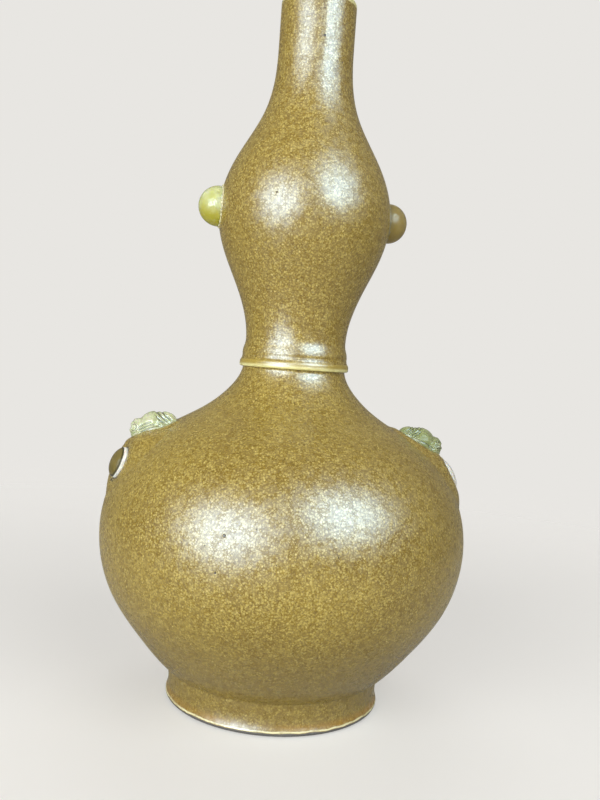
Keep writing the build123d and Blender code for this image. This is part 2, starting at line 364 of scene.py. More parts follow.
# a smooth curve through knots with its slope given at both ends
def smoothThrough(knots, startAngle, endAngle, count):
    points = np.array(knots, float)
    span = np.linalg.norm(np.diff(points, axis=0), axis=1)
    size = len(points)
    system = np.zeros((size, size))
    right = np.zeros((size, 2))
    system[0, 0] = system[-1, -1] = 1
    right[0] = [math.cos(math.radians(startAngle)), math.sin(math.radians(startAngle))]
    right[-1] = [math.cos(math.radians(endAngle)), math.sin(math.radians(endAngle))]
    for i in range(1, size - 1):
        system[i, i - 1] = span[i]
        system[i, i] = 2 * (span[i - 1] + span[i])
        system[i, i + 1] = span[i - 1]
        before = (points[i] - points[i - 1]) / span[i - 1]
        after = (points[i + 1] - points[i]) / span[i]
        right[i] = 3 * (span[i] * before + span[i - 1] * after)
    slopes = np.linalg.solve(system, right)
    along = np.concatenate([[0], np.cumsum(span)])
    found = []
    for s in np.linspace(0, along[-1], count):
        i = min(int(np.searchsorted(along, s, "right")) - 1, size - 2)
        t = (s - along[i]) / span[i]
        a = (1 + 2 * t) * (1 - t) ** 2 * points[i] + t * (1 - t) ** 2 * span[i] * slopes[i]
        b = t * t * (3 - 2 * t) * points[i + 1] + t * t * (t - 1) * span[i] * slopes[i + 1]
        found.append(a + b)
    return np.array(found)


# the outside as thrown, and the plain curve without foot, ridge and collar that the inside follows
def bodyProfile():
    curves = {}
    for key, ends in body["stretches"].items():
        knots = [tuple(curves["collar"][-1]), body["flank"][0]] if key == "waist" else body[key]
        curves[key] = smoothThrough(knots, *ends)
    foot, belly, shoulder, ridge, collar, waist, flank, crown = curves.values()
    outer = [foot[:-1], belly[:-1], shoulder, ridge, collar[:-1], waist[:-1], flank[:-1], crown]
    return np.concatenate(outer), np.concatenate([belly, shoulder[1:], waist[1:], flank[1:], crown[1:]])


outerProfile, sweptProfile = bodyProfile()
outerHeights = outerProfile[:, 1]
outerRadii = outerProfile[:, 0]


# the whole closed section, from the middle of the base round the outside and down the inside
def bodySection():
    top, wall, neck = body["top"], body["wall"], body["crown"][-1][0]
    rounds, steps = body["lipRound"], body["lipSteps"]
    angles = [step / steps * math.pi / 2 for step in range(1, steps + 1)]
    lip = [(neck, top - body["lipDrop"]), (neck, top - rounds)]
    lip += [(neck - rounds * (1 - math.cos(a)), top - rounds * (1 - math.sin(a))) for a in angles]
    lip += [(neck - wall + rounds * (1 - math.sin(a)), top - rounds * (1 - math.cos(a))) for a in angles]
    slope = np.gradient(sweptProfile, axis=0)
    slope /= np.linalg.norm(slope, axis=1)[:, None]
    inner = sweptProfile + np.stack([-slope[:, 1], slope[:, 0]], 1) * wall
    inner = inner[::body["innerStep"]][::-1]
    floor = [(radius, body["recess"] + wall) for radius in body["floorRadii"]]
    rows = [body["underside"], outerProfile, lip, inner, floor]
    return np.concatenate([np.array(r, float) for r in rows])


# a geometry tree with its named inputs
def startTree(name, sockets):
    tree = bpy.data.node_groups.new(name, "GeometryNodeTree")
    for label, kind in sockets.items():
        tree.interface.new_socket(label, in_out="INPUT", socket_type="NodeSocket" + kind)
    tree.interface.new_socket("Mesh", in_out="OUTPUT", socket_type="NodeSocketGeometry")
    return tree, put(tree, "NodeGroupInput").outputs


def endTree(tree, mesh, finish):
    smooth = put(tree, "GeometryNodeSetShadeSmooth", {0: mesh})
    real = put(tree, "GeometryNodeRealizeInstances", {0: smooth.outputs[0]})
    painted = put(tree, "GeometryNodeSetMaterial", {0: real.outputs[0], "Material": finish})
    put(tree, "NodeGroupOutput", {0: painted.outputs[0]})
    return tree


# turns a half section round the upright axis
def lathedTree():
    sockets = {"Section": "Geometry", "Turns": "Int", "Wobble": "Float", "Finish": "Material"}
    tree, given = startTree("lathedSection", sockets)
    size = put(tree, "GeometryNodeAttributeDomainSize", {0: given["Section"]}, component="MESH")
    rows = size.outputs["Point Count"]
    counts = {"Size X": 1.0, "Size Y": 1.0, "Vertices X": rows, "Vertices Y": maths(tree, "ADD", given["Turns"], 1.0)}
    grid = put(tree, "GeometryNodeMeshGrid", counts)
    spot = put(tree, "ShaderNodeSeparateXYZ", {0: put(tree, "GeometryNodeInputPosition").outputs[0]})
    last = maths(tree, "SUBTRACT", rows, 1.0)
    row = maths(tree, "ROUND", maths(tree, "MULTIPLY", maths(tree, "ADD", spot.outputs[0], 0.5), last))
    angle = maths(tree, "MULTIPLY", maths(tree, "ADD", spot.outputs[1], 0.5), 2 * math.pi)
    sample = put(tree, "GeometryNodeSampleIndex", data_type="FLOAT_VECTOR", domain="POINT")
    tree.links.new(given["Section"], sample.inputs["Geometry"])
    tree.links.new(put(tree, "GeometryNodeInputPosition").outputs[0], sample.inputs["Value"])
    tree.links.new(row, sample.inputs["Index"])
    knot = put(tree, "ShaderNodeSeparateXYZ", {0: sample.outputs[0]}).outputs
    cosine, sine = maths(tree, "COSINE", angle), maths(tree, "SINE", angle)
    # slight hand-thrown waver, always inwards
    rise = maths(tree, "MULTIPLY", knot[2], body["waverRise"])
    ring = put(tree, "ShaderNodeCombineXYZ", {0: cosine, 1: sine, 2: rise})
    waver = noiseAt(tree, ring.outputs[0], body["waverScale"], 1)
    shrink = maths(tree, "MULTIPLY", maths(tree, "MULTIPLY", waver, given["Wobble"]), knot[0])
    radius = maths(tree, "SUBTRACT", knot[0], shrink)
    x, y = maths(tree, "MULTIPLY", radius, cosine), maths(tree, "MULTIPLY", radius, sine)
    where = put(tree, "ShaderNodeCombineXYZ", {0: x, 1: y, 2: knot[2]})
    placed = put(tree, "GeometryNodeSetPosition", {0: grid.outputs["Mesh"], "Position": where.outputs[0]})
    merged = put(tree, "GeometryNodeMergeByDistance", {0: placed.outputs[0], "Distance": body["weld"]})
    return endTree(tree, merged.outputs[0], given["Finish"])


# the object's mesh as its modifiers leave it
def evaluatedMesh(obj):
    depsgraph = bpy.context.evaluated_depsgraph_get()
    return bpy.data.meshes.new_from_object(obj.evaluated_get(depsgraph), depsgraph=depsgraph)


# runs a node tree on an object, and keeps the result as a plain mesh
def bakeTree(obj, tree, values):
    modifier = obj.modifiers.new(tree.name, "NODES")
    modifier.node_group = tree
    for item in tree.interface.items_tree:
        if item.name in values:
            modifier[item.identifier] = values[item.name]
    mesh = evaluatedMesh(obj)
    mesh.name = obj.name
    obj.modifiers.remove(modifier)
    obj.data = mesh


def newObject(name, points, edges=(), faces=()):
    mesh = bpy.data.meshes.new(name)
    mesh.from_pydata([tuple(p) for p in points], [tuple(e) for e in edges], [tuple(f) for f in faces])
    obj = bpy.data.objects.new(name, mesh)
    bpy.context.scene.collection.objects.link(obj)
    return obj


# quads between neighbouring rings of points
def bandFaces(rows, around):
    faces = []
    for row in range(rows - 1):
        low, high = row * around, (row + 1) * around
        for i in range(around):
            j = (i + 1) % around
            faces.append((low + i, low + j, high + j, high + i))
    return faces


def outwardFaces(obj):
    work = bmesh.new()
    work.from_mesh(obj.data)
    bmesh.ops.recalc_face_normals(work, faces=work.faces)
    for f in work.faces:
        f.smooth = True
    work.to_mesh(obj.data)
    work.free()


def vertexPlaces(obj):
    flat = np.zeros(len(obj.data.vertices) * 3)
    obj.data.vertices.foreach_get("co", flat)
    return flat.reshape(-1, 3)


def storeValue(obj, name, values):
    attribute = obj.data.attributes.new(name, "FLOAT", "POINT")
    attribute.data.foreach_set("value", np.asarray(values, np.float32))


def swell(value, low, high):
    t = np.clip((value - low) / (high - low), 0, 1)
    return t * t * (3 - 2 * t)


def makeBody():
    points = [(r * mm, 0, z * mm) for r, z in bodySection()]
    obj = newObject("gourdBody", points, edges=[(i, i + 1) for i in range(len(points) - 1)])
    bakeTree(obj, lathedTree(), {"Turns": body["turns"], "Wobble": body["wobble"], "Finish": glazeMaterial})
    outwardFaces(obj)
    return obj


gourdBody = makeBody()
say("body turned, %d faces" % len(gourdBody.data.polygons))

# where each stone sits: the middle of its base, then the turn and the climb of its face
spots = {
    "leftDome": {"middle": (-30.8, 0, 175.0), "turn": 180, "climb": 0},
    "rightDome": {"middle": (30.8, 0, 174.5), "turn": 0, "climb": 0},
    "leftAmulet": {"middle": (-48.217, -2.527, 95.08), "turn": 183, "climb": 65},
    "rightAmulet": {"middle": (46.876, -6.588, 95.799), "turn": -8, "climb": 62},
    "leftAgate": {"middle": (-59.15, -8.9, 83.3), "turn": 198, "climb": 22},
    "rightAgate": {"middle": (58.4, -8.211, 85.35), "turn": -8, "climb": 30},
}


# a stone's own frame in millimetres: X up the slope, Z out of the glaze
def stoneFrame(spot):
    turn, climb = math.radians(spot["turn"]), math.radians(spot["climb"])
    facing = np.array([math.cos(turn), math.sin(turn), 0])
    up = np.array([0, 0, 1.0])
    normal = facing * math.cos(climb) + up * math.sin(climb)
    slope = up * math.cos(climb) - facing * math.sin(climb)
    return np.array(spot["middle"], float), np.stack([slope, np.cross(normal, slope), normal])


def toWorld(spot, local):
    origin, axes = stoneFrame(spot)
    return (origin + np.asarray(local, float) @ axes) * mm


bodyTree = BVHTree.FromPolygons(
    [v.co.copy() for v in gourdBody.data.vertices], [tuple(f.vertices) for f in gourdBody.data.polygons]
)
# a ray starts this far above the stone's base, reaches this far, and gives the last value where it misses
probe = {"above": 9, "reach": 30, "missed": -20}


# how far below (or above) a stone's base plane the thrown surface lies, in millimetres
def depthToGlaze(spot, u, v):
    origin, axes = stoneFrame(spot)
    normal = Vector(axes[2])
    found = []
    for a, b in zip(u, v):
        start = Vector(origin + a * axes[0] + b * axes[1]) * mm + normal * probe["above"] * mm
        hit = bodyTree.ray_cast(start, -normal, probe["reach"] * mm)
        found.append(probe["above"] - hit[3] / mm if hit[0] else probe["missed"])
    return np.array(found)


# clay seats: a rounded oval rim round the stone that flows down into the shoulder
seats = {
    "leftAmulet": {"half": (8.3, 5.2), "rim": 1.1, "flare": 7.0, "pitted": 1.0},
    "rightAmulet": {"half": (8.3, 5.2), "rim": 1.1, "flare": 7.0, "pitted": 0.4},
    "leftAgate": {"half": (5.6, 4.7), "rim": 1.1, "flare": 13.0, "pitted": 0.9},
    "rightAgate": {"half": (5.6, 4.7), "rim": 1.1, "flare": 10.0, "pitted": 0.4},
    "gap": 0.3,
    # outwards and upwards steps of the rim's inner edge, beside the stone
    "tuck": [(0, -1.3), (0, -0.6), (0.03, -0.24), (0.12, -0.07), (0.3, 0.0)],
    "crest": 0.03,
    "crestShares": (0.25, 0.5, 0.75, 1),
    "flareRows": 33,
    "leastFlow": 0.3,
    "flowStart": 0.25,
    "flowDepth": 3.2,
    "sink": 0.04,
    "seamWidth": 1.3,
    "inward": 0.9,
    "around": 160,
    # the wall pressed down under a seat
    "bed": 1.4,
    "bedRim": 0.6,
    "bedFade": 0.86,
    "bedReach": 6,
    "bedWall": 2,
}


def seatRows(seat):
    gap, rim, edge = seats["gap"], seat["rim"], seats["tuck"][-1][0]
    rows = [(gap + out, lift, 0) for out, lift in seats["tuck"]]
    for t in seats["crestShares"]:
        rows.append((gap + edge + (rim - edge) * t, seats["crest"] * math.sin(math.pi * t), 0))
    return rows + [(gap + rim + seat["flare"] * t, 0, t) for t in np.linspace(0, 1, seats["flareRows"])[1:]]


def makeSeat(key):
    seat, spot = seats[key], spots[key]
    rows, count = seatRows(seat), seats["around"]
    angles = np.arange(count) * 2 * math.pi / count
    points, seam = [], []
    rimDepth = None
    for offset, lift, fall in rows:
        u = (seat["half"][0] + offset) * np.cos(angles)
        v = (seat["half"][1] + offset) * np.sin(angles)
        glazeDepth = depthToGlaze(spot, u, v)
        if rimDepth is None:
            rimDepth = glazeDepth
        # a shallow side flows out sooner than a steep one
        reach = np.clip(seats["flowStart"] + np.abs(rimDepth) / seats["flowDepth"], seats["leastFlow"], 1)
        ease = swell(fall / reach, 0, 1)
        w = glazeDepth * ease + lift * (1 - ease) - seats["sink"] * ease
        points.append(toWorld(spot, np.stack([u, v, w], 1)))
        away = (offset - seats["gap"]) / seats["seamWidth"]
        seam.append(np.full(count, seat["pitted"] * math.exp(-away ** 2)))
    obj = newObject(key + "Seat", np.concatenate(points), faces=bandFaces(len(rows), count))
    obj.data.materials.append(glazeMaterial)
    for f in obj.data.polygons:
        f.use_smooth = True
    # the seat faces away from a point inside the wall
    inside = Vector(toWorld(spot, [(0, 0, 0)])[0]) * seats["inward"]
    if sum(f.normal.dot(f.center - inside) for f in obj.data.polygons) < 0:
        obj.data.flip_normals()
    storeValue(obj, "seam", np.concatenate(seam))
    return obj


def glazeRadius(height):
    return np.interp(height, outerHeights, outerRadii)


# presses the thrown wall down under a stone, where its seat covers the wall
def pressBed(places, key):
    seat, spot = seats[key], spots[key]
    origin, axes = stoneFrame(spot)
    local = (places - origin) @ axes.T
    length, width = (half + seats["gap"] + seat["rim"] * seats["bedRim"] for half in seat["half"])
    share = np.hypot(local[:, 0] / length, local[:, 1] / width)
    outside = np.hypot(places[:, 0], places[:, 1]) > glazeRadius(places[:, 2]) - seats["bedWall"]
    inside = (share < 1) & (np.abs(local[:, 2]) < seats["bedReach"]) & outside
    drop = np.maximum(0, local[:, 2] + seats["bed"]) * (1 - swell(share, seats["bedFade"], 1))
    return places - np.where(inside, drop, 0)[:, None] * axes[2]


def joinPieces(main, others):
    bpy.ops.object.select_all(action="DESELECT")
    for obj in others:
        obj.select_set(True)
    main.select_set(True)
    bpy.context.view_layer.objects.active = main
    bpy.ops.object.join()


places = vertexPlaces(gourdBody) / mm
reach = np.hypot(places[:, 0], places[:, 1])
storeValue(gourdBody, "seam", np.zeros(len(places)))
underFoot = (reach < body["bare"]["radius"]) & (places[:, 2] < body["bare"]["recess"])
storeValue(gourdBody, "bareClay", (underFoot | (places[:, 2] < body["bare"]["rim"])).astype(float))
seatKeys = ("leftAmulet", "rightAmulet", "leftAgate", "rightAgate")
pads = [makeSeat(key) for key in seatKeys]
for key in seatKeys:
    places = pressBed(places, key)
gourdBody.data.vertices.foreach_set("co", (places * mm).ravel())
gourdBody.data.update()
joinPieces(gourdBody, pads)
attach(gourdBody, "root")
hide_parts("gourd_body")
say("clay seats joined to the body")

# polished yellow-green domes
domes = {
    "leftDome": {"radius": 7.1, "bulge": 7.2, "skirt": 1.0},
    "rightDome": {"radius": 7.1, "bulge": 6.8, "skirt": 1.0},
    "pale": colour(228, 236, 198),
    "deep": colour(208, 212, 136),
    # painted shade for the lower part of each dome
    "low": colour(194, 188, 66),
    "wisp": colour(236, 236, 204),
    # painted shade for the right dome
    "shaded": colour(150, 122, 62),
    "veil": (0.14, 3, 0.6, 0.6),
    "veilBand": (0.3, 0.7),
    "veilDrift": 5,
    "lowShadeBand": (178, 173),
    "wisps": (0.45, 4, 0.6, 1.2),
    "wispBand": (0.55, 0.75, 0.0, 0.3),
    "shadedBand": (-5, 5, 0.0, 0.8),
    "glossBand": (0.3, 0.7, 0.10, 0.15),
    "relief": (0.3, 2),
    "reliefDepth": 0.02,
    "stone": {
        "Subsurface Weight": 0.6,
        "Subsurface Radius": (1.0, 0.9, 0.4),
        "Subsurface Scale": 0.004,
        "IOR": 1.61,
    },
}


# pale and deeper tones at random, and each dome painted deeper below as painted shade; the right one is painted
# browner as painted shade
def makeDomeJade():
    material, tree, shader, place = startMaterial("domeJade")
    parts = put(tree, "ShaderNodeSeparateXYZ", {0: place})
    veil = noiseAt(tree, place, *domes["veil"])
    tint = blendColours(tree, remap(tree, veil, *domes["veilBand"]), domes["deep"], domes["pale"])
    # painted shade: the lower part of the dome turns deeper yellow
    level = maths(tree, "ADD", parts.outputs[2], maths(tree, "MULTIPLY", veil, domes["veilDrift"]))
    tint = blendColours(tree, remap(tree, level, *domes["lowShadeBand"]), tint, domes["low"])
    wisp = remap(tree, noiseAt(tree, place, *domes["wisps"]), *domes["wispBand"])
    tint = blendColours(tree, wisp, tint, domes["wisp"])
    # painted shade: the right dome, on plus X, turns browner
    rightShade = remap(tree, parts.outputs[0], *domes["shadedBand"])
    tree.links.new(blendColours(tree, rightShade, tint, domes["shaded"]), shader.inputs["Base Color"])
    tree.links.new(remap(tree, veil, *domes["glossBand"]), shader.inputs["Roughness"])
    setInputs(shader, domes["stone"])
    bumpFrom(tree, shader, noiseAt(tree, place, *domes["relief"]), domes["reliefDepth"] * mm)
    return material


domeJade = makeDomeJade()
crown = {"rows": 22, "edgeDrop": 0.25}


# a crown that rises from an oval edge, with a short skirt below it
def makeCrown(name, spot, half, bulge, skirt, material, around):
    angles = np.arange(around) * 2 * math.pi / around
    rows = [(1.0, -skirt), (1.0, -crown["edgeDrop"])]
    for step in range(crown["rows"]):
        climb = step / crown["rows"] * math.pi / 2
        rows.append((math.cos(climb), bulge * math.sin(climb)))
    points, flat = [], []
    for share, lift in rows:
        u, v = half[0] * share * np.cos(angles), half[1] * share * np.sin(angles)
        points.append(toWorld(spot, np.stack([u, v, np.full(around, lift)], 1)))
        flat += list(zip(u, v))
    points.append(toWorld(spot, [(0, 0, bulge)]))
    points.append(toWorld(spot, [(0, 0, -skirt)]))
    flat += [(0, 0), (half[0], 0)]
    faces = bandFaces(len(rows), around)
    top, bottom, last = len(rows) * around, len(rows) * around + 1, (len(rows) - 1) * around
    for i in range(around):
        j = (i + 1) % around
        faces.append((last + i, last + j, top))
        faces.append((j, i, bottom))
    obj = newObject(name, np.concatenate(points), faces=faces)
    obj.data.materials.append(material)
    outwardFaces(obj)
    return obj, np.array(flat)


for side in ("left", "right"):
    look, spot = domes[side + "Dome"], spots[side + "Dome"]
    half = (look["radius"], look["radius"])
    dome, flat = makeCrown(side + "Dome", spot, half, look["bulge"], look["skirt"], domeJade, 72)
    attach(dome, "root")
    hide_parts(side + "_dome")
say("domes set")

# banded oval agates; the heart is the middle and the half sizes of the part inside the white band
agates = {
    "half": (5.6, 4.7),
    "left": {"bulge": 3.15, "heart": (-0.12, 0.03, 5.36, 4.5)},
    "right": {"bulge": 1.9, "heart": (0.0, -1.2, 4.9, 3.6)},
    "skirt": 0.7,
    "white": colour(246, 245, 234),
    "middle": colour(106, 94, 44),
    "light": colour(140, 126, 72),
    "line": colour(62, 58, 26),
    "sway": (0.3, 3),
    "swayReach": 0.2,
    "veil": (0.3, 4, 0.6, 0.8),
    "lineBand": (-0.55, -0.15),
    "whiteBand": (-0.06, 0.06),
    "glossBand": (0.3, 0.7, 0.08, 0.14),
    "relief": (0.5, 2),
    "reliefDepth": 0.015,
    "stone": {
        "Subsurface Weight": 0.25,
        "Subsurface Radius": (1.0, 0.8, 0.5),
        "Subsurface Scale": 0.0015,
    },
}


def makeAgate():
    material, tree, shader, place = startMaterial("bandedAgate")
    sway = maths(tree, "SUBTRACT", noiseAt(tree, place, *agates["sway"]), 0.5)
    ring = maths(tree, "ADD", storedValue(tree, "ring"), maths(tree, "MULTIPLY", sway, agates["swayReach"]))
    veil = noiseAt(tree, place, *agates["veil"])
    tint = blendColours(tree, veil, agates["middle"], agates["light"])
    tint = blendColours(tree, remap(tree, ring, *agates["lineBand"]), tint, agates["line"])
    tint = blendColours(tree, remap(tree, ring, *agates["whiteBand"]), tint, agates["white"])
    tree.links.new(tint, shader.inputs["Base Color"])
    tree.links.new(remap(tree, veil, *agates["glossBand"]), shader.inputs["Roughness"])
    setInputs(shader, agates["stone"])
    bumpFrom(tree, shader, noiseAt(tree, place, *agates["relief"]), agates["reliefDepth"] * mm)
    return material


agateMaterial = makeAgate()
for side in ("left", "right"):
    look, spot = agates[side], spots[side + "Agate"]
    stone, flat = makeCrown(side + "Agate", spot, agates["half"], look["bulge"], agates["skirt"], agateMaterial, 96)
    u, v, length, width = look["heart"]
    ring = np.hypot((flat[:, 0] - u) / length, (flat[:, 1] - v) / width) - 1
    storeValue(stone, "ring", ring * (length + width) / 2)
    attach(stone, "root")
    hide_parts(side + "_agate")
say("agates set")

# carved pale jades: lobes as (middle, half length, half width, height), head towards minus X
amulets = {
    "left": {
        "lobes": [(-4.6, 3.95, 4.4, 5.7), (0.2, 5.9, 5.2, 6.2), (1.83, 6.64, 4.06, 5.2)],
        "tailCuts": (1.4, 2.9, 4.3, 5.6),
        "tailWidth": 0.34,
        "sideLines": 3,
        "outerEye": 0.4,
    },
    "right": {
        "lobes": [(-4.6, 3.95, 4.4, 5.2), (0.0, 5.9, 5.2, 5.7), (1.83, 6.64, 4.06, 4.3)],
        "tailCuts": (1.6, 2.6, 3.5, 4.4, 5.2, 6.0),
        "tailWidth": 0.20,
        "sideLines": 1,
        "outerEye": 0.8,
    },
    "skirt": 0.4,
    "around": 64,
    "rows": 32,
    "voxel": 0.17,
    "relax": 0.5,
    "relaxTimes": 4,
    "pale": colour(214, 218, 182),
    "celadon": colour(178, 186, 136),
    "green": colour(128, 138, 82),
    # painted shade for the carved grooves
    "cut": colour(74, 76, 48),
    "veil": (0.16, 4, 0.6, 0.7),
    "veilBand": (0.35, 0.65),
    "greenBand": (-5, 5, 0.0, 0.6),
    "grooveShadeShare": 0.8,
    "cutRough": 0.2,
    "glossBand": (0.3, 0.7, 0.10, 0.15),
    "relief": (0.8, 3),
    "reliefDepth": 0.02,
    "stone": {
        "Subsurface Weight": 0.5,
        "Subsurface Radius": (0.8, 1.0, 0.6),
        "Subsurface Scale": 0.003,
        "IOR": 1.61,
    },
}
# the carving in the stone's own millimetres; a pair says between which places a cut fades in or out
carving = {
    "depth": 0.38,
    "tail": {"lean": 0.47, "shift": 1.2, "along": (1.5, 2.6), "above": (0.5, 1.4)},
    "line": {
        "height": 0.8, "gap": 1.0, "wave": 0.42, "pitch": 0.42, "shift": 6, "width": 0.27,
        "share": 0.8, "start": (-5.6, -4.6), "end": (1.2, 2.4), "flank": (1.5, 2.5),
    },
    "eye": {"middle": (-6.6, 2.4, 3.4), "inner": (1.25, 0.17), "outer": (2.0, 0.15)},
    "seam": {"width": 0.16, "share": 0.6, "start": (-2.4, -1.8), "end": (1.0, 2.0), "clear": 9},
    "bumps": {"pitch": 0.9, "height": 0.22, "end": (-4.6, -3.2)},
    "scallop": {"count": 9, "height": 0.12, "middle": (-5.1, 2.2), "end": (-4.8, -3.6), "above": (0.2, 1.0)},
}


def makeCarvedJade():
    material, tree, shader, place = startMaterial("carvedJade")
    veil = noiseAt(tree, place, *amulets["veil"])
    tint = blendColours(tree, remap(tree, veil, *amulets["veilBand"]), amulets["celadon"], amulets["pale"])
    parts = put(tree, "ShaderNodeSeparateXYZ", {0: place})
    green = remap(tree, parts.outputs[0], *amulets["greenBand"])
    tint = blendColours(tree, green, tint, amulets["green"])
    cut = storedValue(tree, "cut")
    # the carved grooves painted darker by their depth: painted shade in the grooves
    tint = blendColours(tree, maths(tree, "MULTIPLY", cut, amulets["grooveShadeShare"]), tint, amulets["cut"])
    tree.links.new(tint, shader.inputs["Base Color"])
    gloss = remap(tree, veil, *amulets["glossBand"])
    rough = maths(tree, "ADD", gloss, maths(tree, "MULTIPLY", cut, amulets["cutRough"]))
    tree.links.new(rough, shader.inputs["Roughness"])
    setInputs(shader, amulets["stone"])
    bumpFrom(tree, shader, noiseAt(tree, place, *amulets["relief"]), amulets["reliefDepth"] * mm)
    return material


carvedJade = makeCarvedJade()


# half buried balls that are fused into one stone
def lobedStone(name, lobes):
    points, faces = [], []
    around, rows, skirt = amulets["around"], amulets["rows"], amulets["skirt"]
    for middle, halfLength, halfWidth, height in lobes:
        start = len(points)
        for row in range(1, rows):
            tilt = row / rows * math.pi
            for i in range(around):
                turn = i / around * 2 * math.pi
                x, y, z = math.sin(tilt) * math.cos(turn), math.sin(tilt) * math.sin(turn), math.cos(tilt)
                points.append((middle + x * halfLength, y * halfWidth, max(z * height, -skirt)))
        points += [(middle, 0, height), (middle, 0, -skirt)]
        top = start + (rows - 1) * around
        for row in range(rows - 2):
            for i in range(around):
                j = (i + 1) % around
                a, b = start + row * around, start + (row + 1) * around
                faces.append((a + i, b + i, b + j, a + j))
        for i in range(around):
            j = (i + 1) % around
            faces.append((start + i, start + j, top))
            faces.append((top - around + j, top - around + i, top + 1))
    obj = newObject(name, points, faces=faces)
    fuse = obj.modifiers.new("fuse", "REMESH")
    fuse.mode = "VOXEL"
    fuse.voxel_size = amulets["voxel"]
    relax = obj.modifiers.new("relax", "SMOOTH")
    relax.factor, relax.iterations = amulets["relax"], amulets["relaxTimes"]
    obj.data = evaluatedMesh(obj)
    obj.modifiers.clear()
    return obj


def groove(distance, width):
    return np.exp(-(distance / width) ** 2)


# cuts the stone, the same on both flanks, and gives how deep each point is cut
def carveAmulet(obj, look):
    tail, line, eye, seam = (carving[key] for key in ("tail", "line", "eye", "seam"))
    bumps, scallop = carving["bumps"], carving["scallop"]
    places = vertexPlaces(obj)
    normals = np.zeros(len(places) * 3)
    obj.data.vertices.foreach_get("normal", normals)
    normals = normals.reshape(-1, 3)
    x, y, z = places[:, 0], np.abs(places[:, 1]), places[:, 2]
    cut = np.zeros(len(places))
    lean = x + tail["lean"] * z
    for start in look["tailCuts"]:
        deep = groove(lean - start - tail["shift"], look["tailWidth"])
        cut = np.maximum(cut, deep * swell(x, *tail["along"]) * swell(z, *tail["above"]))
    for k in range(look["sideLines"]):
        height = line["height"] + line["gap"] * k + line["wave"] * np.sin((x + line["shift"]) * line["pitch"])
        span = swell(x, *line["start"]) * (1 - swell(x, line["end"][0] - k, line["end"][1] - k))
        cut = np.maximum(cut, groove(z - height, line["width"]) * span * swell(y, *line["flank"]) * line["share"])
    away = np.sqrt(sum((axis - middle) ** 2 for axis, middle in zip((x, y, z), eye["middle"])))
    cut = np.maximum(cut, groove(away - eye["inner"][0], eye["inner"][1]))
    cut = np.maximum(cut, groove(away - eye["outer"][0], eye["outer"][1]) * look["outerEye"])
    begun = swell(x, *seam["start"])
    back = groove(y * begun + (1 - begun) * seam["clear"], seam["width"])
    cut = np.maximum(cut, back * seam["share"] * (1 - swell(x, *seam["end"])))
    rough = np.array([noise.noise(Vector(p) * bumps["pitch"]) for p in places])
    rough = rough * bumps["height"] * (1 - swell(x, *bumps["end"]))
    turn = np.arctan2(z - scallop["middle"][1], x - scallop["middle"][0])
    ripple = scallop["height"] * np.sin(turn * scallop["count"])
    ripple = ripple * (1 - swell(x, *scallop["end"])) * swell(z, *scallop["above"])
    places += normals * (rough + ripple - carving["depth"] * cut)[:, None]
    places[:, 2] = np.maximum(places[:, 2], -amulets["skirt"])
    obj.data.vertices.foreach_set("co", places.ravel())
    obj.data.update()
    return cut


for side in ("left", "right"):
    stone = lobedStone(side + "Amulet", amulets[side]["lobes"])
    cut = carveAmulet(stone, amulets[side])
    places = vertexPlaces(stone)
    stone.data.vertices.foreach_set("co", toWorld(spots[side + "Amulet"], places).ravel())
    stone.data.materials.clear()
    stone.data.materials.append(carvedJade)
    outwardFaces(stone)
    storeValue(stone, "cut", cut)
    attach(stone, "root")
    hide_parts(side + "_amulet")
say("amulets carved")

# setting cement; the beads round the stones as (thickness, raggedness, how dark: brown grime together with painted
# shade in the gap round the stone)
cement = {
    "pale": colour(226, 218, 170),
    "dark": colour(84, 72, 46),
    "grime": (0.8, 4, 0.6),
    "grimeBand": (0.5, 0.75, 0, 0.5),
    "glossBand": (0.3, 0.7, 0.5, 0.75),
    "relief": (1.6, 3),
    "reliefDepth": 0.06,
    "left": (0.34, 0.8, 0.0),
    "right": (0.24, 0.3, 0.75),
    "domeOverlap": 0.1,
    "Amulet": (0.3, 0.15, 0.8),
    "Agate": (0.3, 0.15, 1.0),
    "overlap": 0.22,
    "drop": -0.42,
    "around": 180,
    "sides": 10,
    "crumbScale": 900.0,
    "crumbDetail": 3.0,
    "crumbGain": 1.5,
    "crumbPower": 3.0,
    "crumbRest": 0.35,
    "seed": 4.0,
}


def makeCement():
    material, tree, shader, place = startMaterial("settingCement")
    grime = noiseAt(tree, place, *cement["grime"])
    # grime at random, and each bead darkened as a whole: grime together with painted shade in the gap
    shade = maths(tree, "MAXIMUM", remap(tree, grime, *cement["grimeBand"]), storedValue(tree, "grimeAndShade"))
    tint = blendColours(tree, shade, cement["pale"], cement["dark"])
    tree.links.new(tint, shader.inputs["Base Color"])
    tree.links.new(remap(tree, grime, *cement["glossBand"]), shader.inputs["Roughness"])
    bumpFrom(tree, shader, noiseAt(tree, place, *cement["relief"]), cement["reliefDepth"] * mm)
    return material


cementMaterial = makeCement()


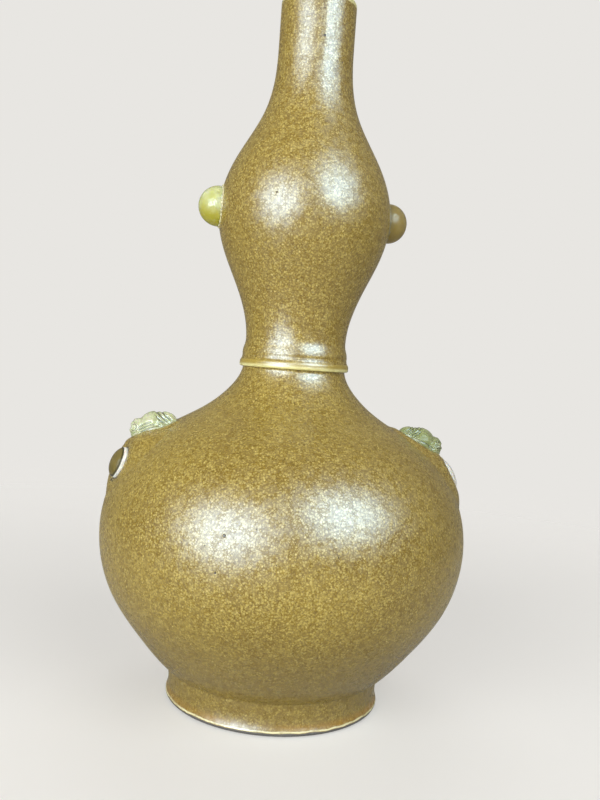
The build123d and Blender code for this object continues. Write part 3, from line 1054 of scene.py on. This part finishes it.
# a rough bead of cement that follows a path
def beadTree():
    sockets = {"Path": "Geometry", "Thickness": "Float", "Raggedness": "Float", "Seed": "Float", "Finish": "Material"}
    tree, given = startTree("cementBead", sockets)
    path = put(tree, "GeometryNodeMeshToCurve", {0: given["Path"]})
    circle = {"Resolution": cement["sides"], "Radius": given["Thickness"]}
    section = put(tree, "GeometryNodeCurvePrimitiveCircle", circle)
    tube = put(tree, "GeometryNodeCurveToMesh", {0: path.outputs[0], 1: section.outputs[0]})
    spot = put(tree, "GeometryNodeInputPosition").outputs[0]
    crumbs = {"Vector": spot, "W": given["Seed"], "Scale": cement["crumbScale"], "Detail": cement["crumbDetail"]}
    ragged = put(tree, "ShaderNodeTexNoise", crumbs, noise_dimensions="4D").outputs[0]
    spike = maths(tree, "POWER", maths(tree, "MULTIPLY", ragged, cement["crumbGain"]), cement["crumbPower"])
    push = maths(tree, "MULTIPLY", maths(tree, "SUBTRACT", spike, cement["crumbRest"]), given["Raggedness"])
    away = vectors(tree, "SCALE", put(tree, "GeometryNodeInputNormal").outputs[0], push)
    moved = put(tree, "GeometryNodeSetPosition", {0: tube.outputs[0], "Offset": away})
    return endTree(tree, moved.outputs[0], given["Finish"])


beads = beadTree()


def makeBead(name, points, thickness, ragged, grimeAndShade, seed):
    count = len(points)
    obj = newObject(name, points, edges=[(i, (i + 1) % count) for i in range(count)])
    values = {"Thickness": thickness * mm, "Raggedness": ragged * mm, "Seed": seed, "Finish": cementMaterial}
    bakeTree(obj, beads, values)
    outwardFaces(obj)
    storeValue(obj, "grimeAndShade", [grimeAndShade] * len(obj.data.vertices))
    return obj


angles = np.linspace(0, 2 * math.pi, cement["around"] + 1)[:-1]
for number, side in enumerate(("left", "right")):
    spot, radius = spots[side + "Dome"], domes[side + "Dome"]["radius"] + cement["domeOverlap"]
    u, v = radius * np.cos(angles), radius * np.sin(angles)
    ring = toWorld(spot, np.stack([u, v, depthToGlaze(spot, u, v)], 1))
    bead = makeBead(side + "DomeCement", ring, *cement[side], cement["seed"] + number)
    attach(bead, "root")
    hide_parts(side + "_dome_cement")
    for kind in ("Amulet", "Agate"):
        spot = spots[side + kind]
        length, width = (half + cement["overlap"] for half in seats[side + kind]["half"])
        u, v = length * np.cos(angles), width * np.sin(angles)
        ring = toWorld(spot, np.stack([u, v, np.full(len(u), cement["drop"])], 1))
        bead = makeBead(side + kind + "Cement", ring, *cement[kind], cement["seed"] + 2 + number)
        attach(bead, "root")
        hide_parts(side + "_" + kind.lower() + "_cement")
say("cement laid")

# studio: a pale floor that fades into a pale room, two soft lamps in front and a weak one behind
studio = {
    "pale": colour(232, 230, 226),
    "floor": colour(196, 194, 190),
    "floorRadius": 3.0,
    "floorSteps": 64,
    "floorFinish": {"Roughness": 0.9, "Specular IOR Level": 0.1},
    "glowBand": (120, 600, 0.46, 0.6),
    "fadeBand": (170, 680),
    "room": 0.24,
    "backdrop": 1.0,
    "reflected": 0.07,
    "aimHeight": 0.12,
    "back": {"turn": 175, "climb": 50, "distance": 1.3, "size": (1.1, 0.9), "fill": 4.2},
    "lamps": [
        {
            "turn": -41, "climb": 14, "distance": 1.1, "size": (0.96, 0.88),
            "fill": 10.3, "sheen": 57, "tint": (0.72, 0.9, 1.0),
        },
        {
            "turn": 33, "climb": 33, "distance": 1.1, "size": (1.0, 0.82),
            "fill": 5.6, "sheen": 56, "tint": (0.64, 0.88, 1.0),
        },
    ],
}


def softLamp(name, lamp, power, tint=(1.0, 1.0, 1.0)):
    light = bpy.data.lights.new(name, "AREA")
    light.shape = "ELLIPSE"
    light.size, light.size_y = lamp["size"]
    light.energy = power
    light.color = tint
    obj = bpy.data.objects.new(name, light)
    turn, climb = math.radians(lamp["turn"] - 90), math.radians(lamp["climb"])
    direction = Vector((math.cos(turn) * math.cos(climb), math.sin(turn) * math.cos(climb), math.sin(climb)))
    obj.location = direction * lamp["distance"] + Vector((0, 0, studio["aimHeight"]))
    obj.rotation_euler = direction.to_track_quat("Z", "Y").to_euler()
    bpy.context.scene.collection.objects.link(obj)
    return obj


def makeFloor():
    steps, radius = studio["floorSteps"], studio["floorRadius"]
    angles = [i / steps * 2 * math.pi for i in range(steps)]
    ring = [(radius * math.cos(a), radius * math.sin(a), 0) for a in angles]
    floor = newObject("floor", ring, faces=[tuple(range(steps))])
    material, tree, shader, place = startMaterial("paleFloor")
    setInputs(shader, {"Base Color": studio["floor"], "Emission Color": studio["pale"]})
    setInputs(shader, studio["floorFinish"])
    seen = put(tree, "ShaderNodeLightPath").outputs["Is Camera Ray"]
    distance = vectors(tree, "LENGTH", place)
    glow = maths(tree, "MULTIPLY", seen, remap(tree, distance, *studio["glowBand"]))
    tree.links.new(glow, shader.inputs["Emission Strength"])
    clear = put(tree, "ShaderNodeBsdfTransparent")
    fade = remap(tree, distance, *studio["fadeBand"])
    both = put(tree, "ShaderNodeMixShader", {0: fade, 1: shader.outputs[0], 2: clear.outputs[0]})
    output = [n for n in tree.nodes if n.type == "OUTPUT_MATERIAL"][0]
    tree.links.new(both.outputs[0], output.inputs[0])
    floor.data.materials.append(material)
    return floor


# a plain room that the camera sees as a pale backdrop
def makeRoom():
    world = bpy.data.worlds.new("paleRoom")
    bpy.context.scene.world = world
    world.use_nodes = True
    tree = world.node_tree
    tree.nodes.clear()
    ray = put(tree, "ShaderNodeLightPath").outputs
    seen = maths(tree, "MAXIMUM", ray["Is Camera Ray"], ray["Is Transmission Ray"])
    mirrored = maths(tree, "MULTIPLY", ray["Is Glossy Ray"], studio["reflected"])
    seen = maths(tree, "MAXIMUM", seen, mirrored)
    room = put(tree, "ShaderNodeBackground", {0: studio["pale"], 1: studio["room"]})
    backdrop = put(tree, "ShaderNodeBackground", {0: studio["pale"], 1: studio["backdrop"]})
    both = put(tree, "ShaderNodeMixShader", {0: seen, 1: room.outputs[0], 2: backdrop.outputs[0]})
    put(tree, "ShaderNodeOutputWorld", {0: both.outputs[0]})


floor = makeFloor()
makeRoom()
# each front lamp is a pair: one lights surfaces, the other is only mirrored in them
for i, lamp in enumerate(studio["lamps"]):
    softLamp("softLamp%d" % i, lamp, lamp["fill"]).visible_glossy = False
    sheen = softLamp("sheenLamp%d" % i, lamp, lamp["sheen"], lamp["tint"])
    sheen.visible_diffuse = sheen.visible_volume_scatter = False
softLamp("softLampBack", studio["back"], studio["back"]["fill"]).visible_glossy = False

# the photograph's view; place in millimetres, turn in degrees, clip in metres
view = {
    "place": (-42.867, -305.017, 123.267),
    "turn": (87.2189, -4.0852, -8.3737),
    "lens": 38.2185,
    "sensor": 36,
    "clip": (0.01, 50),
}
lens = bpy.data.cameras.new("handView")
lens.lens, lens.sensor_width = view["lens"], view["sensor"]
lens.clip_start, lens.clip_end = view["clip"]
camera = bpy.data.objects.new("handView", lens)
camera.location = Vector(view["place"]) * mm
camera.rotation_euler = [math.radians(a) for a in view["turn"]]
bpy.context.scene.collection.objects.link(camera)
bpy.context.scene.camera = camera
bpy.context.scene.view_settings.view_transform = "Standard"
say("studio and camera ready")
